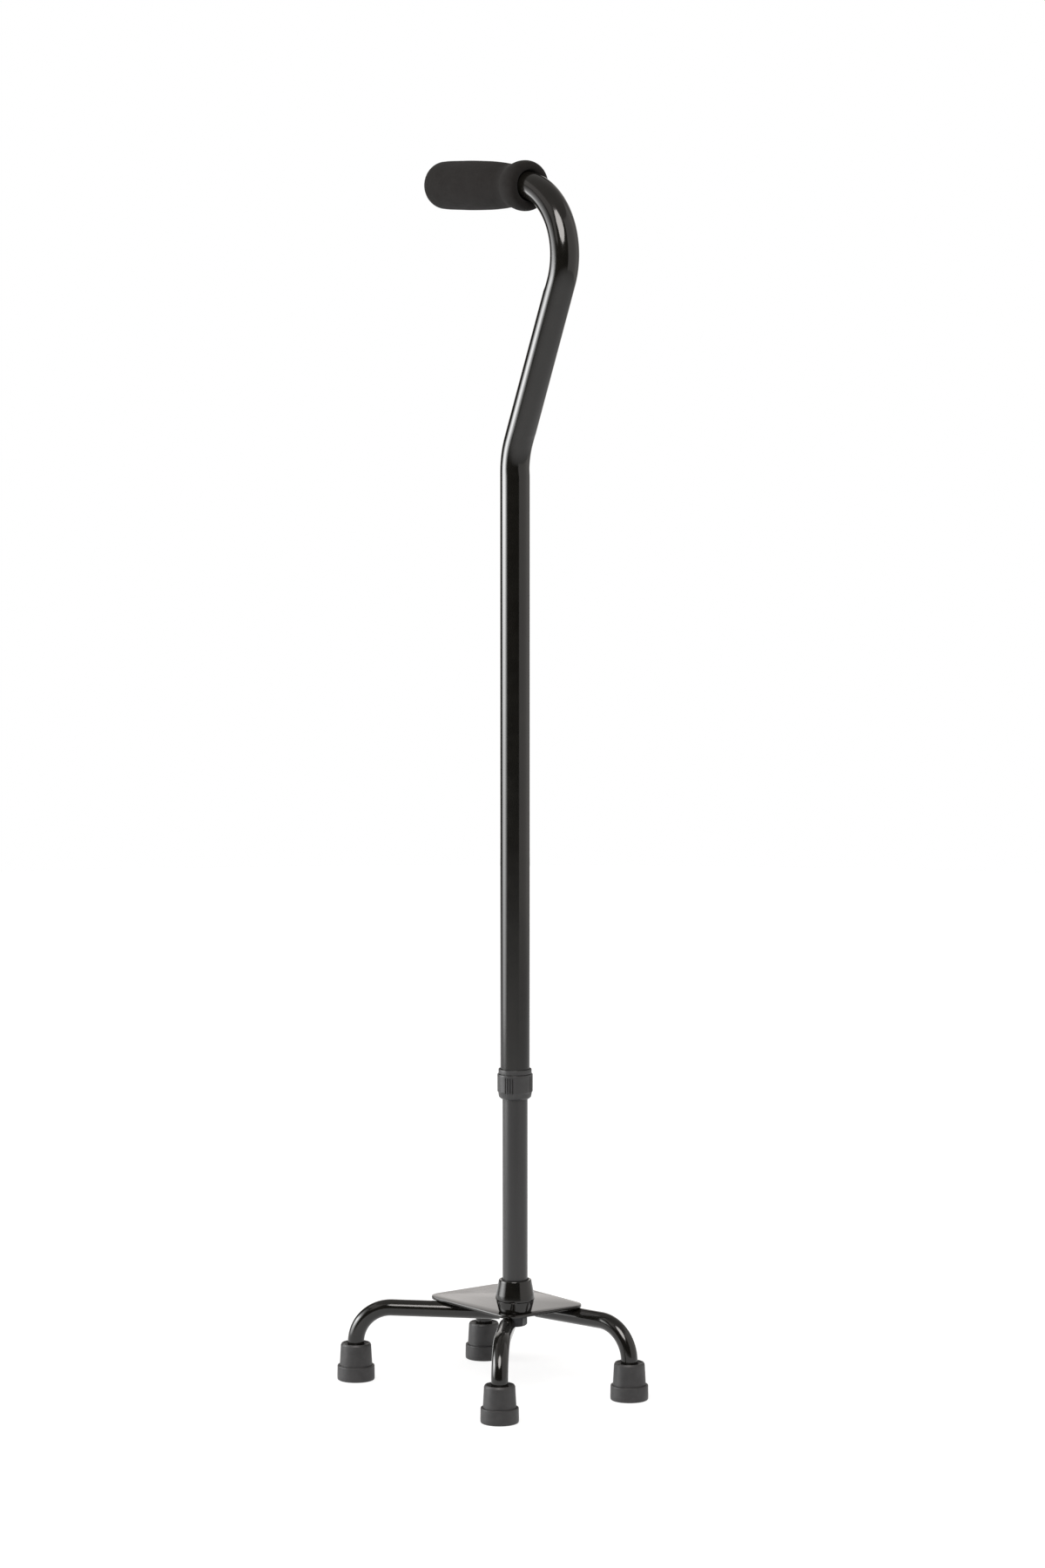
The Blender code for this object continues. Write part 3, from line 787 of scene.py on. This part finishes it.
# ---------------------------------------------------------------- base
def make_plate(finish):
    """The pressed plate, with rolled edges and the bolt's hole."""
    low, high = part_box("base_plate")
    centre, half = (low + high) / 2, (high - low) / 2
    corner, edge, corner_steps = 12.0 * MM, 0.55 * MM, 16
    rows = [(edge, high.z), (edge * 0.3, high.z - edge * 0.3), (0, high.z - edge),
            (0, low.z + edge), (edge * 0.3, low.z + edge * 0.3), (edge, low.z)]
    bm = bmesh.new()
    rings = []
    for inset, z in rows:
        ring = []
        for quarter, (sx, sy) in enumerate([(1, 1), (-1, 1), (-1, -1), (1, -1)]):
            for k in range(corner_steps + 1):
                angle = math.radians(90 * quarter + 90 * k / corner_steps)
                reach = corner - inset
                ring.append(bm.verts.new((
                    centre.x + sx * (half.x - corner) + reach * math.cos(angle),
                    centre.y + sy * (half.y - corner) + reach * math.sin(angle), z)))
        rings.append(ring)
    capped_stack(bm, rings)
    piece = as_object("foot_plate", bm, finish, "base")
    hole, past = bmesh.new(), 10 * MM
    capped_stack(hole, [[hole.verts.new(SHAFT + Vector((a, b, z))) for a, b in circle(BOLT_HOLE_R, 48)]
                        for z in (low.z - past, high.z + past)])
    cut(piece, as_object("plate_hole_cutter", hole, finish))
    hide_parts("base_plate")


def make_leg(corner, finish):
    """A tube that runs from under the plate and bends down into its tip."""
    foot = middle("tip_" + corner)
    angle = math.radians(LEG_HEADINGS[corner])
    inward = Vector((math.cos(angle), math.sin(angle), 0))
    bend = Vector((foot.x, foot.y, LEG_Z))
    end = Vector((foot.x, foot.y, LEG_FOOT))
    path = bent_path([bend + inward * LEG_RUNS[corner] * MM, bend, end], [LEG_BEND], step=3)
    piece = pipe("leg_tube_" + corner, path, inward.cross(Vector((0, 0, 1))), LEG_R, LEG_R - TUBE_WALL,
                 finish, "base", sides=64)
    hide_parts("leg_" + corner)


def make_tip(corner, finish):
    """A rubber ferrule: ringed sole, wide band, tapering socket and a dished mouth round the tube."""
    low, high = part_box("tip_" + corner)
    foot = middle("tip_" + corner)
    foot.z = 0.0
    outer, bore, height = (high.x - low.x) / 2, LEG_R + GAP, high.z
    band, seat = 11.5 * MM, 6.0 * MM
    sole = [(0, 0), (5.5 * MM, 0, 0.2 * MM), (6.0 * MM, 1.2 * MM), (7.6 * MM, 1.2 * MM),
            (8.1 * MM, 0, 0.2 * MM), (outer - 0.1 * MM, 0, 1.2 * MM), (outer, 3.0 * MM, 0.5 * MM),
            (outer - 0.15 * MM, band - 0.9 * MM, 0.4 * MM), (outer - 0.3 * MM, band, 0.45 * MM),
            (12.9 * MM, band + 0.1 * MM, 0.2 * MM), (12.55 * MM, band - 0.35 * MM, 0.15 * MM),
            (12.5 * MM, band + 0.6 * MM, 0.2 * MM)]
    socket = [(11.65 * MM, height - 1.4 * MM, 0.5 * MM), (10.9 * MM, height, 0.4 * MM),
              (10.1 * MM, height, 0.35 * MM), (9.6 * MM, height - 0.5 * MM, 0.5 * MM),
              (bore + 0.7 * MM, height - 1.3 * MM, 0.8 * MM), (bore, height - 1.9 * MM, 0.3 * MM),
              (bore, seat, 0), (0, seat)]
    piece = turned("ferrule_" + corner, rounded(sole + socket, 0.3 * MM), foot, finish, "base", "rubber")
    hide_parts("tip_" + corner)


def make_bolt(finish):
    """A hex head, chamfered below, on its shank."""
    low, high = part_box("base_bolt")
    half_flats, shank, chamfer = 8.0 * MM, 4.9 * MM, math.radians(28)
    head_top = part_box("base_washer")[0].z - GAP
    face_r = half_flats * 0.95
    flank = 1.0  # stands for the hexagon's own reach, which depends on the angle
    outline = [(0, low.z), (face_r * 0.5, low.z), (face_r, low.z), (flank, low.z), (flank, head_top),
               (shank, head_top), (shank, high.z - 0.8 * MM), (shank - 0.8 * MM, high.z), (0, high.z)]

    def hexagonal(angle, r, h):
        if r != flank:
            return r, h
        reach = half_flats / math.cos((angle % (math.pi / 3)) - math.pi / 6)
        return reach, h + ((reach - face_r) * math.tan(chamfer) if h == low.z else 0.0)

    piece = turned("hex_bolt", outline, SHAFT, finish, "base", "zinc", sides=120, shape=hexagonal)
    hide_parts("base_bolt")


def make_washer(finish):
    low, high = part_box("base_washer")
    outer = 9.8 * MM
    outline = rounded([(BOLT_HOLE_R, low.z), (outer, low.z), (outer, high.z), (BOLT_HOLE_R, high.z)],
                      0.25 * MM)
    piece = turned("bolt_washer", outline, SHAFT, finish, "base", "zinc", sides=72)
    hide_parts("base_washer")


# ---------------------------------------------------------------- assembly
def refinish(finish, *names):
    """Gives CAD nodes that aren't replaced a better material."""
    for name in names:
        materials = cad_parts[name].data.materials
        materials.clear()
        materials.append(finish)


def make_cane():
    tube_coat, steel_coat = gloss_black("gloss_black_tube"), gloss_black("gloss_black_steel")
    plastic, steel, natural = moulded_black(), zinc(), natural_plastic()
    bolt_steel = zinc("black_zinc", (0.045, 0.045, 0.047))
    make_upper_tube(tube_coat)
    make_grip(foam())
    make_collar(plastic)
    make_lock_nut(plastic)
    make_lower_tube(satin_black())
    make_button(steel)
    make_hub(steel_coat)
    make_plate(steel_coat)
    tip_rubber = rubber()
    for corner in CORNERS:
        make_leg(corner, steel_coat)
        make_tip(corner, tip_rubber)
        refinish(steel, "tip_washer_" + corner)
    make_bolt(bolt_steel)
    make_washer(bolt_steel)
    refinish(plastic, "grip_plug")
    refinish(natural, "guide_bush", "collet")
    refinish(steel, "tube_insert", "button_spring")


make_camera()
make_studio()
make_floor()
make_cane()
